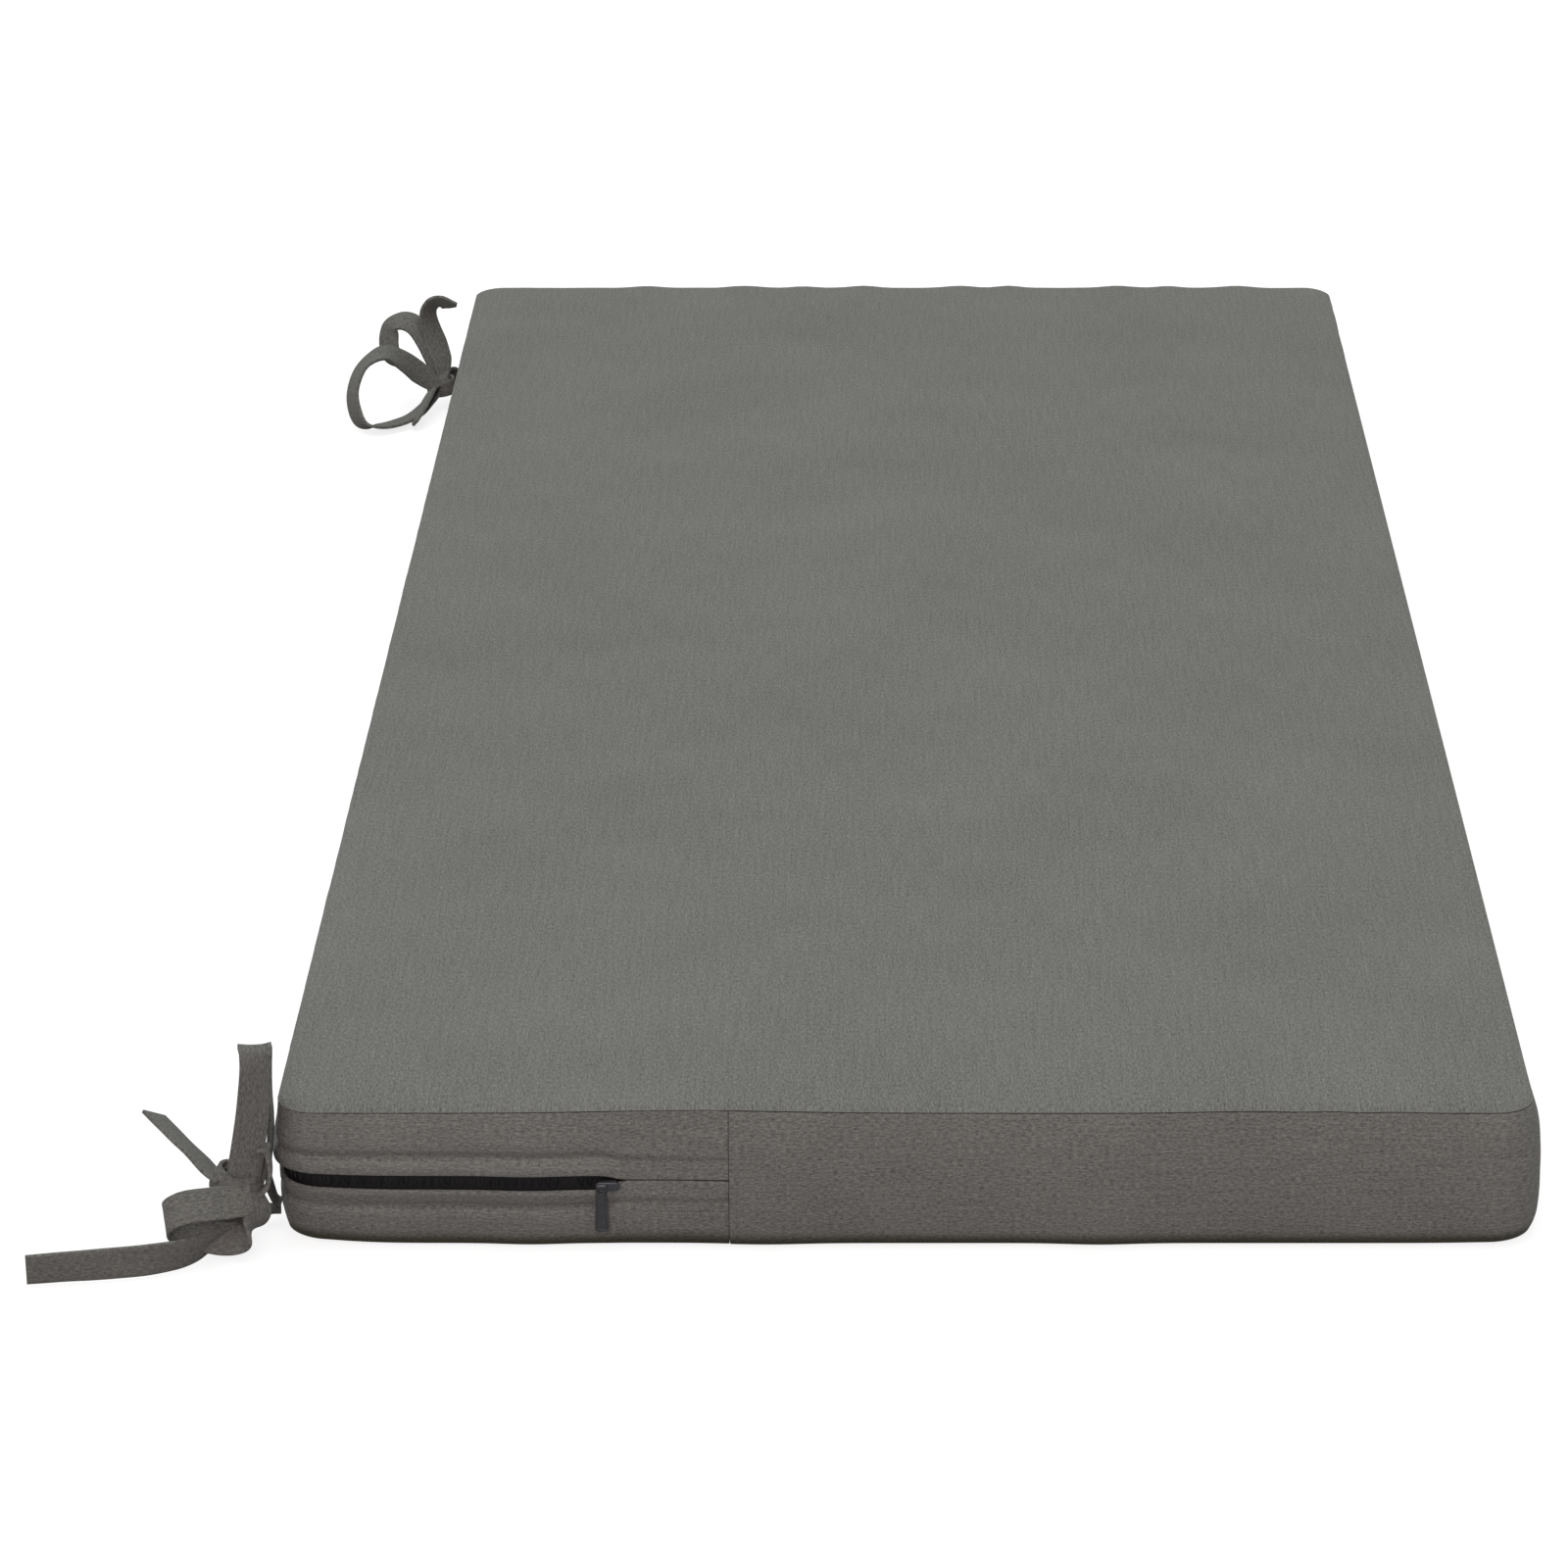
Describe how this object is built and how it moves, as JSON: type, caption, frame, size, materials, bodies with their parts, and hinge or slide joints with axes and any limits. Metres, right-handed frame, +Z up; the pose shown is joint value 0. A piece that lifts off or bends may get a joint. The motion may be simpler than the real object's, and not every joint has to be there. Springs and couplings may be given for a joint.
{
  "type": "bench cushion",
  "caption": "Long, thin box cushion with a zip panel in its sides and a tied bow at each end of its left side.",
  "frame": {"origin": "centre of the flat underside, on the surface the cushion lies on", "axes": "+X to the cushion's right side, away from the ties; +Y along its length to the far end; +Z up"},
  "size_m": [0.536, 1.1008, 0.0793],
  "materials": {
    "cushion_cloth": "flat melange woven cloth, grey with a green cast",
    "band_cloth": "melange woven cloth, warm grey, topstitched beside the zip",
    "tie_cloth": "self cloth straps, folded and sewn flat",
    "zip_tape": "black woven zip tape with coil teeth",
    "zip_metal": "dark grey painted metal"
  },
  "bodies": {
    "root": {"cushion": "cushion_cloth", "band_plain": "band_cloth", "zip_strip_upper": "band_cloth", "zip_strip_lower": "band_cloth", "zip_tape": "zip_tape", "zip_slider": "zip_metal", "zip_pull": "zip_metal", "near_tie_loop": "tie_cloth", "near_tie_wrap": "tie_cloth", "far_tie_loop": "tie_cloth", "far_tie_wrap": "tie_cloth"}
  },
  "joints": []
}
